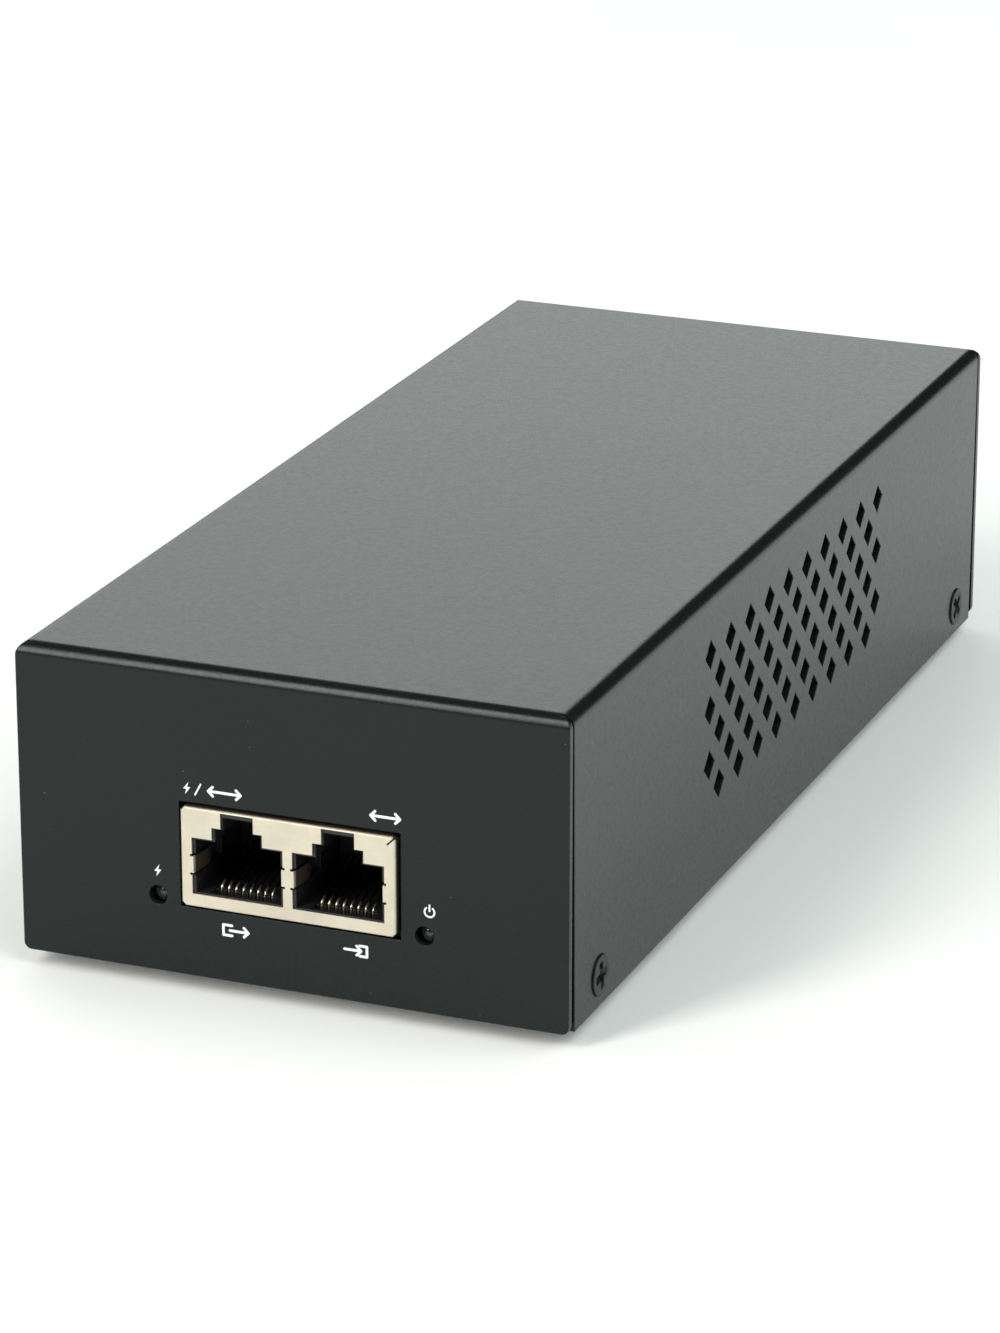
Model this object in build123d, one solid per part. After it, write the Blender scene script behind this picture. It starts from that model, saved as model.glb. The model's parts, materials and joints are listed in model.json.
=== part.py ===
from build123d import *
import math
import os

# A power-over-ethernet injector in a bent steel case, in millimetres.
# +Y points from the front panel to the rear, +X to the right as seen from the front, +Z up.
# The origin is at the centre of the whole object's footprint, on the surface it stands on.

# Driving dimensions of the case
case_width = 76.0
case_depth = 173.0
case_height = 42.7
sheet = 1.0
bend_radius = 1.8
panel_lift = 0.3
seam_top = 0.45
seam_bottom = 1.1
panel_corner_radius = 1.0
foot_clearance = 2.0

# What stands proud of the case at each end
jack_proud = 0.7
inlet_flange_thickness = 2.6

# Case limits in the object's frame
overall_depth = jack_proud + case_depth + inlet_flange_thickness
front_y = jack_proud - overall_depth / 2
rear_y = front_y + case_depth
half_width = case_width / 2
case_z = foot_clearance
top_z = case_z + case_height
inner_front_y = front_y + sheet
inner_rear_y = rear_y - sheet

# Side vents
vent_side = 3.0
vent_rows = 6
vent_columns = 10
vent_column_pitch = 7.92
vent_row_pitch = 3.9
vent_first_column = 51.6
vent_top_row = 33.8

# Cover screws
cover_screw_height = 4.2
cover_screw_front = 11.0
cover_screw_rear = 9.3
screw_shank_radius = 1.45
screw_hole_radius = 1.5
screw_head_radius = 2.75
screw_head_depth = 1.3
screw_head_recess = 0.3
countersink_radius = 2.85

# Base tray
tray_gap = 0.15
tray_underside = 0.2
tray_flange_top = 8.5
tray_bend_radius = 1.4
tray_end_gap = 0.3

# Feet
foot_radius = 4.5
foot_x = 28.0
foot_inset = 13.0

# Circuit board
board_top = case_z + 10.2
board_thickness = 1.6
board_half_width = 34.0
board_front = front_y + 2.2
board_length = 132.0
board_bottom = board_top - board_thickness
board_rear = board_front + board_length
board_hole_x = 30.0
board_hole_front = board_front + 12.0
board_hole_rear = board_rear - 5.0
board_hole_radius = 1.6
standoff_flats = 5.5
spigot_radius = 2.1
film_thickness = 0.4
earth_x = -24.0
earth_y = 63.0

# Ganged RJ45 jack: widths across X, depths from the jack's face, heights from the board
port_pitch = 13.97
jack_width = 29.7
jack_height = 13.6
jack_depth = 21.3
shield_sheet = 0.25
shield_chamfer = 0.5
shield_front_radius = 0.3
opening_width = 12.67
opening_floor = 1.77
opening_top = 9.52
step_width = 7.04
step_top = 11.2
notch_width = 4.56
tab_low = 4.6
tab_high = 6.95
slit_radius = 0.2
window_half_width = 15.3
window_bottom = case_z + 9.7
window_top = case_z + 24.2
cavity_width = 11.9
cavity_depth = 14.5
cavity_floor = 1.9
cavity_top = 9.2
trough_half = 4.3
trough_front = 1.0
housing_underside = 0.35
housing_post_x = 12.5
housing_post_radius = 1.15
housing_post_depth = 9.5

# Contact springs
contact_count = 8
contact_pitch = 1.016
wire_radius = 0.18
bend_centre_depth = 3.45
bend_centre_height = 1.75
contact_bend_radius = 0.5
contact_rise = 22.0
contact_length = 8.8
contact_gap = 0.04
tail_height = 0.9
tail_rows = (11.4, 13.9)

# Indicator lamps
lamp_x = 18.5
lamp_hole_radius = 1.3
lamp_hole_height = case_z + 10.8
lamp_radius = 1.5
lamp_flange_radius = 1.9
lamp_length = 5.2
lamp_setback = 1.15
lamp_axis = board_top + 0.35

# Mains inlet
inlet_z = case_z + 21.5
inlet_flange_width = 48.0
inlet_flange_height = 24.0
inlet_body_width = 27.4
inlet_body_height = 20.0
inlet_mouth_width = 24.4
inlet_mouth_height = 16.4
inlet_mouth_depth = 16.0
inlet_body_depth = 20.0
inlet_screw_x = 20.0
inlet_pin_x = 7.0
inlet_earth_rise = 4.0
inlet_tab_length = 8.0
inlet_face_y = rear_y + inlet_flange_thickness
inlet_back_y = rear_y - inlet_body_depth
wire_cover_radius = 0.9
wire_barrel = 4.5
header_x = 19.0
header_y = board_rear - 5.5
mains_plug_top = 10.0

# Power and network components on the board: centre x, centre y, then sizes
fuse_place = (1.0, 42.0)
fuse_length = 20.0
fuse_radius = 2.5
fuse_height = 4.0
film_capacitor_place = (1.0, 29.0)
choke_place = (-21.0, 30.0)
thermistor_place = (-3.0, 36.3)
y_capacitor_places = ((-20.0, 43.5), (-18.5, 12.0))
bridge_place = (1.0, 21.5)
bulk_place = (23.0, 28.0)
bulk_radius = 9.0
bulk_height = 27.0
transformer_place = (2.0, 2.0)
primary_sink_x = -29.5
primary_sink_y = 1.0
output_sink_x = 29.5
output_sink_y = -26.0
sink_thickness = 3.0
sink_height = 24.0
sink_length = 28.0
output_capacitor_places = ((-8.0, -34.0), (5.5, -34.0), (19.0, -36.0))
output_capacitor_radius = 6.2
output_capacitor_height = 22.0
inductor_place = (-24.5, -31.0)
optocoupler_place = (26.0, 4.0)
control_chip_place = (26.0, -5.0)
poe_chip_place = (27.0, -54.0)
network_transformer_places = ((-11.5, -54.5), (11.5, -54.5))

# Power devices: the height of the screw that clamps a device's tab to its sink
tab_hole_height = 17.0
tab_thickness = 1.3

# Power transformer core
core_width = 33.0
core_depth = 12.0
core_height = 27.0
core_lift = 1.0
core_window_low = 5.0
core_window_high = 22.0
core_leg_half = 5.5
core_window_outer = 11.5
bobbin_wall = 0.8
bobbin_length = 26.0
winding_length = 24.0

# Output inductor
inductor_outer = 8.2
inductor_inner = 4.6
inductor_height = 7.0
inductor_lift = 1.2
inductor_wire = 0.9
inductor_turns = 13
inductor_arc = 300.0

# Sizes of the remaining components: width across X, depth along Y, height
film_capacitor_size = (16.0, 7.0, 13.0)
mains_header_size = (12.0, 7.6, 4.0)
mains_header_half_pitch = 2.5
mains_plug_size = (11.0, 6.4)
choke_core_size = (21.0, 6.0, 17.0)
choke_window = 8.0
choke_base_size = (22.0, 15.0, 2.0)
bridge_size = (21.5, 3.5, 17.0)
bridge_lead_pitch = 5.08
power_lead_pitch = 2.54
chip_lead_pitch = 2.54
fine_lead_pitch = 1.27
lead_tail = 1.2

# Fasteners
cover_screw_length = 4.4
cover_screw_rim = 0.25
board_screw_length = 4.5
inlet_screw_length = 7.0
inlet_nut_thickness = 2.4
earth_stud_radius = 1.9
earth_nut_flats = 7.0
earth_nut_thickness = 3.2
recess_radius = 1.95
recess_depth = 1.2
recess_blade = 0.6

# Gap left where two pieces of the same body pass each other
ease = 0.1


# ---------------------------------------------------------------- helpers
def block(x0, x1, y0, y1, z0, z1):
    """Box between two opposite corners."""
    centre = Pos((x0 + x1) / 2, (y0 + y1) / 2, (z0 + z1) / 2)
    return centre * Box(x1 - x0, y1 - y0, z1 - z0)


def centred_block(x, y, z, width, depth, height):
    """Box standing on z, centred on x and y."""
    return block(x - width / 2, x + width / 2, y - depth / 2, y + depth / 2, z, z + height)


def post(x, y, z0, z1, radius):
    """Upright cylinder."""
    return Pos(x, y, (z0 + z1) / 2) * Cylinder(radius, z1 - z0)


def rod_x(x0, x1, y, z, radius):
    """Cylinder along X."""
    return Pos((x0 + x1) / 2, y, z) * Rot(0, 90, 0) * Cylinder(radius, abs(x1 - x0))


def rod_y(x, y0, y1, z, radius):
    """Cylinder along Y."""
    return Pos(x, (y0 + y1) / 2, z) * Rot(90, 0, 0) * Cylinder(radius, abs(y1 - y0))


def prism_x(x0, x1, points):
    """Outline of (y, z) points drawn out along X."""
    outline = make_face(Plane.YZ * Polyline(*points, close=True))
    return Pos(x0, 0, 0) * extrude(outline, x1 - x0, dir=(1, 0, 0))


def wire(points, radii, radius):
    """Round wire along straight runs joined by tangent arcs."""
    if len(points) == 2:
        path = Line(*points)
    else:
        path = FilletPolyline(*points, radius=radii)
    section = Plane(origin=path @ 0, z_dir=path % 0) * Circle(radius)
    return sweep(section, path=path)


def join(shapes):
    """Fuse a list of shapes that touch."""
    whole = shapes[0]
    for shape in shapes[1:]:
        whole = whole + shape
    return whole


def mirrored(shape):
    """The shape and its image in the YZ plane."""
    return [shape, mirror(shape, about=Plane.YZ)]


def save(node, shapes):
    """Write one node from a shape or a list of separate shapes."""
    if not isinstance(shapes, (list, tuple)):
        shapes = [shapes]
    solids = [solid for shape in shapes for solid in shape.solids()]
    export_step(Compound(solids), f"parts/{node}.step")


lead_holes = []


def lead(x, y, radius=0.4, above=0.0):
    """Round component lead through the board, and the hole that it needs."""
    lead_holes.append((x, y, radius + 0.15))
    return post(x, y, board_bottom - lead_tail, board_top + above, radius)


# ---------------------------------------------------------------- case
def arch(width, height, radius, plane, length):
    """Solid with a flat foot at z 0 and two rounded upper edges, drawn out both ways from the middle."""
    face = Pos(0, height / 2) * Rectangle(width, height)
    face = fillet(face.vertices().group_by(Axis.Y)[-1], radius)
    return extrude(plane * face, length / 2, both=True)


def five_sided(width, depth, height, radius):
    """Closed block with all four upper edges rounded."""
    across = Plane(origin=(0, 0, 0), x_dir=(1, 0, 0), z_dir=(0, -1, 0))
    along = Plane(origin=(0, 0, 0), x_dir=(0, 1, 0), z_dir=(1, 0, 0))
    return arch(width, height, radius, across, depth) & arch(depth, height, radius, along, width)


def vent_cutter():
    """Square rods turned 45 degrees, right through both side walls."""
    rods = []
    for row in range(vent_rows):
        odd = row % 2
        z = case_z + vent_top_row - row * vent_row_pitch
        for column in range(vent_columns - odd):
            y = front_y + vent_first_column + (column + odd / 2) * vent_column_pitch
            square = Rot(45, 0, 0) * Box(case_width + 4, vent_side, vent_side)
            rods.append(Pos(0, y, z) * square)
    return rods


def cover_screw_places():
    """Side (+1 or -1), y and z of each cover screw's axis at the wall."""
    z = case_z + cover_screw_height
    rows = (front_y + cover_screw_front, rear_y - cover_screw_rear)
    return [(side, y, z) for side in (-1, 1) for y in rows]


def seam_cutter(side, end):
    """Open corner seam between an end flange and a side wall, wider at the bottom."""
    near = front_y + sheet if end < 0 else rear_y - sheet
    inward = -end
    points = [
        (near, case_z - 1),
        (near + inward * seam_bottom, case_z - 1),
        (near + inward * seam_top, top_z + 1),
        (near, top_z + 1),
    ]
    inner = half_width - bend_radius + 0.2
    cutter = prism_x(inner, half_width + 1, points)
    return cutter if side > 0 else mirror(cutter, about=Plane.YZ)


def countersink(side, y, z):
    """Conical hole right through a side wall, for a flat-head screw."""
    cone = Cone(countersink_radius, countersink_radius - sheet, sheet)
    return Pos(side * (half_width - sheet / 2), y, z) * Rot(0, -90 * side, 0) * cone


def build_cover():
    outer = five_sided(case_width, case_depth, case_height, bend_radius)
    inner = five_sided(
        case_width - 2 * sheet, case_depth - 2 * sheet, case_height - sheet, bend_radius - sheet
    )
    middle_y = (front_y + rear_y) / 2
    body = Pos(0, middle_y, case_z) * (outer - inner)
    for y0, y1 in ((front_y - 1, inner_front_y), (inner_rear_y, rear_y + 1)):
        body -= block(-half_width, half_width, y0, y1, case_z - 1, case_z + panel_lift)
    for side in (-1, 1):
        for end in (-1, 1):
            body -= seam_cutter(side, end)
    body -= round_panel_corners()
    body -= vent_cutter()
    for side, y, z in cover_screw_places():
        body -= countersink(side, y, z)
    body -= block(
        -window_half_width, window_half_width, front_y - 1, inner_front_y + 0.5, window_bottom, window_top
    )
    for x in (-lamp_x, lamp_x):
        body -= rod_y(x, front_y - 1, inner_front_y + 0.5, lamp_hole_height, lamp_hole_radius)
    body -= inlet_body(inner_rear_y - 1, rear_y + 1, ease)
    for x in (-inlet_screw_x, inlet_screw_x):
        body -= rod_y(x, inner_rear_y - 1, rear_y + 1, inlet_z, screw_hole_radius + 0.1)
    return body


def round_panel_corners():
    """Waste outside the rounded lower corners of the two end flanges."""
    waste = []
    r = panel_corner_radius
    low = case_z + panel_lift
    for y0, y1 in ((front_y - 1, inner_front_y), (inner_rear_y, rear_y + 1)):
        corner = block(half_width - r, half_width + 1, y0, y1, low - 1, low + r)
        corner -= rod_y(half_width - r, y0 - 1, y1 + 1, low + r, r)
        waste += mirrored(corner)
    return waste


def build_base_tray():
    half = half_width - sheet - tray_gap
    floor_z = case_z + tray_underside
    y0 = inner_front_y + tray_end_gap
    y1 = inner_rear_y - tray_end_gap
    across = Plane(origin=(0, 0, 0), x_dir=(1, 0, 0), z_dir=(0, -1, 0))
    height = case_z + tray_flange_top - floor_z
    trough = arch(2 * half, height, tray_bend_radius, across, y1 - y0)
    hollow = arch(2 * (half - sheet), height - sheet, tray_bend_radius - sheet, across, y1 - y0 + 2)
    tray = Rot(0, 180, 0) * (trough - hollow)
    tray = Pos(0, (y0 + y1) / 2, floor_z + height) * tray
    flange_setback = 5.0
    for a, b in ((y0 - 1, y0 + flange_setback), (y1 - flange_setback, y1 + 1)):
        for side in (-1, 1):
            x = side * half
            tray -= block(x - 1.5, x + 1.5, a, b, floor_z + tray_bend_radius, floor_z + height + 1)
    collar_reach = 1.2
    for side, y, z in cover_screw_places():
        inner = half - sheet
        tray += rod_x(side * inner, side * (inner - collar_reach), y, z, screw_hole_radius + 0.9)
        tray -= rod_x(side * (half + 1), side * (inner - 2 * collar_reach), y, z, screw_hole_radius)
        entry = Cone(screw_hole_radius + 0.45, screw_hole_radius, 0.45)
        tray -= Pos(side * (half - 0.225), y, z) * Rot(0, -90 * side, 0) * entry
    for x, y in standoff_places():
        tray -= post(x, y, case_z - 1, floor_z + sheet + 1, spigot_radius + 0.05)
    tray -= post(earth_x, earth_y, case_z - 1, floor_z + sheet + 1, spigot_radius + 0.05)
    return tray


def cross_recess(radius, depth):
    """Tapered cross-shaped driver recess, opening upward at z 0."""
    width = 2 * recess_blade
    arms = Box(2 * radius, width, 2 * depth) + Box(width, 2 * radius, 2 * depth)
    core = Pos(0, 0, -depth / 2) * Cone(recess_blade * 0.6, radius, depth)
    return arms & core


def flat_head_screw(length, rim=0.0):
    """Countersunk cross-head screw, its cone's top at z 0, its rim above that and its shank below."""
    head = Pos(0, 0, -screw_head_depth / 2) * Cone(screw_shank_radius, screw_head_radius, screw_head_depth)
    if rim:
        disc = Pos(0, 0, rim / 2) * Cylinder(screw_head_radius, rim)
        head += fillet(disc.edges().group_by(Axis.Z)[-1], rim / 2)
    shank = Pos(0, 0, -length / 2) * Cylinder(screw_shank_radius, length)
    return head + shank - Pos(0, 0, rim) * cross_recess(recess_radius, recess_depth)


def pan_head_screw(length, head_radius=2.8, head_height=1.9):
    """Round cross-head screw, its head's underside at z 0 and its shank down."""
    head = Pos(0, 0, head_height / 2) * Cylinder(head_radius, head_height)
    head = fillet(head.edges().group_by(Axis.Z)[-1], 0.7)
    shank = Pos(0, 0, -length / 2) * Cylinder(screw_shank_radius, length)
    return head + shank - Pos(0, 0, head_height) * cross_recess(recess_radius - 0.1, recess_depth - 0.1)


def build_cover_screws():
    screws = []
    for number, (side, y, z) in enumerate(cover_screw_places()):
        screw = flat_head_screw(cover_screw_length, cover_screw_rim)
        turned = Rot(0, 90 * side, 0) * Rot(0, 0, 25 + 37 * number) * screw
        screws.append(Pos(side * half_width, y, z) * turned)
    return screws


def foot_places():
    rows = (front_y + foot_inset, rear_y - foot_inset)
    return [(x, y) for x in (-foot_x, foot_x) for y in rows]


def build_feet():
    height = foot_clearance + tray_underside
    foot = Pos(0, 0, height / 2) * Cone(foot_radius - 0.4, foot_radius, height)
    foot = fillet(foot.edges().group_by(Axis.Z)[0], 0.5)
    return [Pos(x, y, 0) * foot for x, y in foot_places()]


# ---------------------------------------------------------------- board and its supports
def standoff_places():
    return [(x, y) for x in (-board_hole_x, board_hole_x) for y in (board_hole_front, board_hole_rear)]


def build_standoffs():
    """Hex spacers with a spigot swaged into the tray."""
    low = case_z + tray_underside + sheet
    across_corners = standoff_flats / math.sqrt(3)
    spacer = extrude(RegularPolygon(across_corners, 6), board_bottom - low)
    spacer += Pos(0, 0, -sheet / 2) * Cylinder(spigot_radius, sheet)
    spacer -= Pos(0, 0, (board_bottom - low) / 2) * Cylinder(screw_hole_radius, 20)
    return [Pos(x, y, low) * spacer for x, y in standoff_places()]


def build_board_screws():
    screw = pan_head_screw(board_screw_length)
    return [Pos(x, y, board_top) * screw for x, y in standoff_places()]


def build_insulating_film():
    low = case_z + tray_underside + sheet
    half = half_width - 2 * sheet - tray_gap - 0.6
    film = block(-half, half, inner_front_y + 2, board_rear + 3, low, low + film_thickness)
    for x, y in standoff_places():
        film -= post(x, y, low - 1, low + 2, standoff_flats / 2 + 1)
    return film


def lamp_places():
    return (-lamp_x, lamp_x)


def build_board():
    board = block(
        -board_half_width, board_half_width, board_front, board_rear, board_bottom, board_top
    )
    notch_half = lamp_flange_radius + 0.3
    notch_end = front_y + lamp_setback + lamp_length + 0.3
    for x in lamp_places():
        board -= block(
            x - notch_half, x + notch_half, board_front - 1, notch_end, board_bottom - 1, board_top + 1
        )
    for x, y in standoff_places():
        board -= post(x, y, board_bottom - 1, board_top + 1, board_hole_radius)
    board -= [post(x, y, board_bottom - 1, board_top + 1, r) for x, y, r in lead_holes]
    for x, depth in shield_leg_places():
        y = jack_y(depth)
        board -= block(x - 0.35, x + 0.35, y - 1.2, y + 1.2, board_bottom - 1, board_top + 1)
    for x in (-housing_post_x, housing_post_x):
        y = jack_y(housing_post_depth)
        board -= post(x, y, board_bottom - 1, board_top + 1, housing_post_radius + ease)
    return board


# ---------------------------------------------------------------- ganged RJ45 jack
def jack_y(depth):
    """Y of a depth behind the jack's face."""
    return front_y - jack_proud + depth


def jack_block(x0, x1, d0, d1, h0, h1):
    """Box given by depths behind the jack's face and heights above the board."""
    return block(x0, x1, jack_y(d0), jack_y(d1), board_top + h0, board_top + h1)


def port_centres():
    return (-port_pitch / 2, port_pitch / 2)


def shield_leg_places():
    x = jack_width / 2 - shield_sheet / 2
    return [(side * x, depth) for side in (-1, 1) for depth in (6.5, 15.5)]


def build_jack_shield():
    profile = Rectangle(jack_width, jack_height)
    profile = chamfer(profile.vertices(), shield_chamfer)
    across = Plane(origin=(0, 0, 0), x_dir=(1, 0, 0), z_dir=(0, -1, 0))
    shell = Pos(0, jack_depth, jack_height / 2) * extrude(across * profile, jack_depth)
    shell = fillet(shell.faces().sort_by(Axis.Y)[0].edges(), shield_front_radius)
    gap = shield_sheet
    inside = Rectangle(jack_width - 2 * gap, jack_height - 2 * gap)
    inside = chamfer(inside.vertices(), shield_chamfer - 0.1)
    hollow = Pos(0, jack_depth - gap, jack_height / 2) * extrude(across * inside, jack_depth - 2 * gap)
    shell -= hollow
    lip_depth = 1.5
    shell = Pos(0, jack_y(0), board_top) * shell
    half = jack_width / 2
    shell -= jack_block(
        shield_chamfer - half, half - shield_chamfer, lip_depth, jack_depth - gap, -1, 2 * gap
    )
    for x in port_centres():
        shell -= port_opening(x)
    for x, depth in shield_leg_places():
        leg = jack_block(
            x - gap / 2, x + gap / 2, depth - 0.9, depth + 0.9, -board_thickness - lead_tail, 1.5
        )
        shell += leg
    slit = Pos(half, jack_y(0), board_top + jack_height) * Rot(0, 45, 0) * Box(0.2, 1.6, 3.2)
    shell -= slit
    for x in port_centres():
        for side in (-1, 1):
            shell += earth_tab(x, side)
    return shell


def port_opening(x):
    """Keyed opening in the shield's face: plug body, step and latch notch, with slit ends."""
    d0, d1 = -1, 1
    top = jack_height - shield_sheet
    body = jack_block(x - opening_width / 2, x + opening_width / 2, d0, d1, opening_floor, opening_top)
    step = jack_block(x - step_width / 2, x + step_width / 2, d0, d1, opening_floor, step_top)
    notch = jack_block(x - notch_width / 2, x + notch_width / 2, d0, d1, opening_floor, top)
    cutters = [body, step, notch]
    for side in (-1, 1):
        for height in (tab_low - slit_radius / 2, tab_high + slit_radius / 2):
            edge = x + side * (opening_width / 2 + slit_radius / 2)
            cutters.append(rod_y(edge, jack_y(d0), jack_y(d1), board_top + height, slit_radius))
    return cutters


def earth_tab(x, side):
    """Spring tab folded back into the port from one side edge of its opening."""
    thick = 0.2
    root = opening_width / 2
    reach = ((root, 0.0), (root - 0.12, 0.5), (root - 0.45, 3.4), (root - 0.25, 4.8))
    outer = [(x + side * (offset + 0.05), jack_y(depth)) for offset, depth in reach]
    inner = [(x + side * (offset - thick), jack_y(depth)) for offset, depth in reversed(reach)]
    face = make_face(Polyline(*outer, *inner, close=True))
    low, high = tab_low + 0.05, tab_high - 0.05
    return Pos(0, 0, board_top + low) * extrude(face, high - low, dir=(0, 0, 1))


def build_jack_housing():
    wall = shield_sheet + ease
    half = jack_width / 2 - wall
    low = housing_underside
    body = jack_block(-half, half, wall, jack_depth - wall - 0.1, low, jack_height - wall)
    edge_cut = 0.5
    low_corner = block(-edge_cut, edge_cut, -60, 60, -edge_cut, edge_cut)
    for x in (-half, half):
        for height in (low, jack_height - wall):
            corner = Pos(x, jack_y(jack_depth / 2), board_top + height) * Rot(0, 45, 0)
            body -= corner * low_corner
    slot = 0.7
    for x in port_centres():
        w = cavity_width / 2
        body -= jack_block(x - w, x + w, -1, cavity_depth, cavity_floor, cavity_top)
        body -= jack_block(x - 3.2, x + 3.2, -1, cavity_depth, cavity_floor, step_top - 0.2)
        body -= jack_block(x - 2.1, x + 2.1, -1, cavity_depth - 2, cavity_floor, jack_height - 0.9)
        body -= jack_block(x - w - slot, x + w + slot, -1, 8.2, tab_low - 0.3, tab_high + 0.3)
        body -= jack_block(x - trough_half, x + trough_half, trough_front, cavity_depth, -1, 2.5)
        body -= jack_block(x - trough_half, x + trough_half, cavity_depth - 1, jack_depth + 1, -1, 4.2)
    for x in (-housing_post_x, housing_post_x):
        y = jack_y(housing_post_depth)
        body += post(x, y, board_bottom - 0.8, board_top + low + 0.5, housing_post_radius)
    return body


def contact_offsets():
    first = -(contact_count - 1) / 2
    return [(first + number) * contact_pitch for number in range(contact_count)]


def build_contact_carrier(x):
    """Moulded carrier under the contact springs, with a comb at the front and a channel for each tail."""
    half = trough_half - ease
    low = 0.35
    body = jack_block(x - half, x + half, 3.9, jack_depth - 0.6, low, 1.55)
    body += jack_block(x - half, x + half, cavity_depth + 0.2, jack_depth - 0.6, low, 4.0)
    rib = 0.2
    for number in range(contact_count + 1):
        middle = x + (number - contact_count / 2) * contact_pitch
        body += jack_block(middle - rib, middle + rib, 2.75, 4.0, low, 1.75)
    channel = wire_radius + 0.08
    for number, offset in enumerate(contact_offsets()):
        row = tail_rows[number % 2]
        middle = x + offset
        body -= jack_block(middle - channel, middle + channel, 2, row + 0.45, low - 1, tail_height + 0.3)
    return body


def build_contact_tails(x):
    """Fixed half of each contact: up from the board, forward under the carrier and up to the bend."""
    tails = []
    front = bend_centre_depth - contact_bend_radius
    for number, offset in enumerate(contact_offsets()):
        row = tail_rows[number % 2]
        middle = x + offset
        points = [
            (middle, jack_y(row), board_bottom - lead_tail),
            (middle, jack_y(row), board_top + tail_height),
            (middle, jack_y(front), board_top + tail_height),
            (middle, jack_y(front), board_top + bend_centre_height - contact_gap),
        ]
        tails.append(wire(points, 0.4, wire_radius))
        lead_holes.append((middle, jack_y(row), 0.45))
    return tails


def build_contact_springs(x):
    """Free half of each contact: round the front bend, then rearward and up into the port."""
    y = jack_y(bend_centre_depth)
    z = board_top + bend_centre_height
    start = math.radians(180)
    end = math.radians(90 + contact_rise)
    middle = (start + end) / 2
    radius = contact_bend_radius
    on_bend = [(0, y + radius * math.cos(a), z + radius * math.sin(a)) for a in (start, middle, end)]
    rise = math.radians(contact_rise)
    _, root_y, root_z = on_bend[2]
    tip = (0, root_y + contact_length * math.cos(rise), root_z + contact_length * math.sin(rise))
    path = ThreePointArc(*on_bend) + Line(on_bend[2], tip)
    section = Plane(origin=on_bend[0], z_dir=(0, 0, 1)) * Circle(wire_radius)
    spring = sweep(section, path=path) + Pos(*tip) * Sphere(wire_radius)
    return [Pos(x + offset, 0, 0) * spring for offset in contact_offsets()]


# ---------------------------------------------------------------- indicator lamps
def build_lamp(x):
    tip = front_y + lamp_setback
    body = rod_y(x, tip + lamp_radius, tip + lamp_length, lamp_axis, lamp_radius)
    body += Pos(x, tip + lamp_radius, lamp_axis) * Sphere(lamp_radius)
    body += rod_y(x, tip + lamp_length - 1.0, tip + lamp_length, lamp_axis, lamp_flange_radius)
    return body


def build_lamp_leads():
    leads = []
    size = 0.22
    start = front_y + lamp_setback + lamp_length
    for lamp in lamp_places():
        for x in (lamp - 1.27, lamp + 1.27):
            end = start + 4.0
            run = block(x - size, x + size, start, end, lamp_axis - size, lamp_axis + size)
            low = board_bottom - lead_tail
            drop = block(x - size, x + size, end - 2 * size, end, low, lamp_axis + size)
            leads.append(run + drop)
            lead_holes.append((x, end - size, 0.5))
    return leads


# ---------------------------------------------------------------- mains inlet
def inlet_section(width, height, corner):
    """Outline of an appliance inlet, with its two upper corners cut."""
    face = Rectangle(width, height)
    return chamfer(face.vertices().group_by(Axis.Y)[-1], corner)


def inlet_body(y0, y1, grow=0.0):
    """Prism of the inlet's body from y0 to y1."""
    face = inlet_section(inlet_body_width + 2 * grow, inlet_body_height + 2 * grow, 4.5)
    across = Plane(origin=(0, y1, inlet_z), x_dir=(1, 0, 0), z_dir=(0, -1, 0))
    return extrude(across * face, y1 - y0)


def inlet_pin_places():
    """X and z of the live, earth and neutral pins."""
    low = inlet_z - inlet_earth_rise / 2
    return ((-inlet_pin_x, low), (0.0, low + inlet_earth_rise), (inlet_pin_x, low))


def build_inlet_housing():
    plate = Rectangle(inlet_flange_width, inlet_flange_height)
    plate = fillet(plate.vertices(), 4.0)
    across = Plane(origin=(0, inlet_face_y, inlet_z), x_dir=(1, 0, 0), z_dir=(0, -1, 0))
    body = extrude(across * plate, inlet_flange_thickness)
    body = fillet(body.faces().sort_by(Axis.Y)[-1].edges(), 0.5)
    body += inlet_body(inlet_back_y, rear_y + 0.5)
    mouth = inlet_section(inlet_mouth_width, inlet_mouth_height, 3.6)
    body -= extrude(across * mouth, inlet_mouth_depth)
    for x, z in inlet_pin_places():
        body -= block(x - 1.05, x + 1.05, inlet_back_y - 1, rear_y, z - 2.05, z + 2.05)
    sink_depth = screw_head_depth + screw_head_recess + 0.2
    for x in (-inlet_screw_x, inlet_screw_x):
        body -= rod_y(x, rear_y - 1, inlet_face_y + 1, inlet_z, screw_hole_radius + 0.1)
        sink = Cone(screw_head_radius + 0.35, screw_hole_radius, sink_depth)
        body -= Pos(x, inlet_face_y - sink_depth / 2, inlet_z) * Rot(90, 0, 0) * sink
    return body


def build_inlet_pins():
    """Mains pins in the inlet's mouth, each with a push-on tab at the back."""
    pins = []
    tab_back = inlet_back_y - inlet_tab_length
    for x, z in inlet_pin_places():
        pin = block(x - 1, x + 1, inlet_back_y, inlet_face_y - 2.2, z - 2, z + 2)
        pin = chamfer(pin.faces().sort_by(Axis.Y)[-1].edges(), 0.5)
        tab = block(x - 0.4, x + 0.4, tab_back, inlet_back_y + 0.5, z - 1.9, z + 1.9)
        tab += block(x - 0.4, x + 0.4, tab_back, inlet_back_y - 0.5, z - 2.4, z + 2.4)
        pins.append(pin + tab)
    return pins


def build_inlet_screws():
    screw = flat_head_screw(inlet_screw_length)
    places = (-inlet_screw_x, inlet_screw_x)
    return [
        Pos(x, inlet_face_y - screw_head_recess, inlet_z) * Rot(-90, 0, 0) * Rot(0, 0, 20 + x) * screw
        for x in places
    ]


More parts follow.
